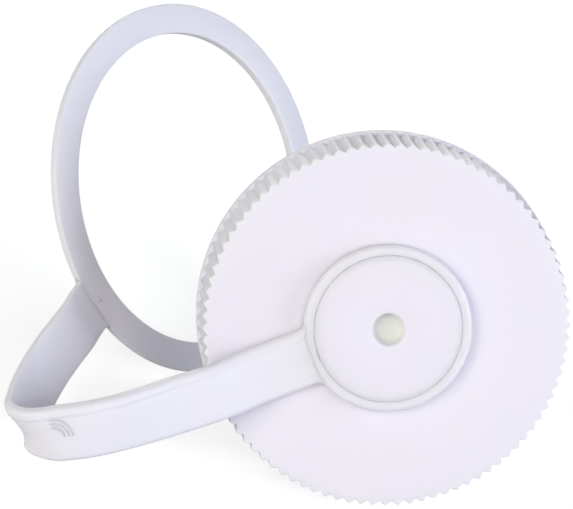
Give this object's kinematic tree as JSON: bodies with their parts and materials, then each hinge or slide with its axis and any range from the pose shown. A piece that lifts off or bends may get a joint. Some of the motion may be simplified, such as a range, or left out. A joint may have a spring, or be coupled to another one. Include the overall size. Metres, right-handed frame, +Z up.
{
  "type": "tethered screw cap",
  "caption": "Knurled screw cap for a wide bottle neck, with a flexible strap that turns on the cap's button and ends in a ring for the neck.",
  "frame": {"origin": "on the floor, under the middle of the whole part's box as it lies folded", "axes": "+Z up, +X along the longest side of the box, +Y away from the side that shows the cap's top face"},
  "size_m": [0.1112, 0.1062, 0.0719],
  "materials": {
    "cap_plastic": "smooth moulded, half matt",
    "strap_plastic": "smooth moulded, half matt"
  },
  "bodies": {
    "cap": {"screw_cap": "cap_plastic"},
    "strap": {"loop_strap": "strap_plastic"}
  },
  "joints": [
    {"name": "strap_turn", "type": "hinge", "parent": "cap", "child": "strap", "pos_m": [0.02088, -0.0203, 0.03926], "axis": [0.1149, -0.9329, 0.3412], "continuous": true}
  ]
}
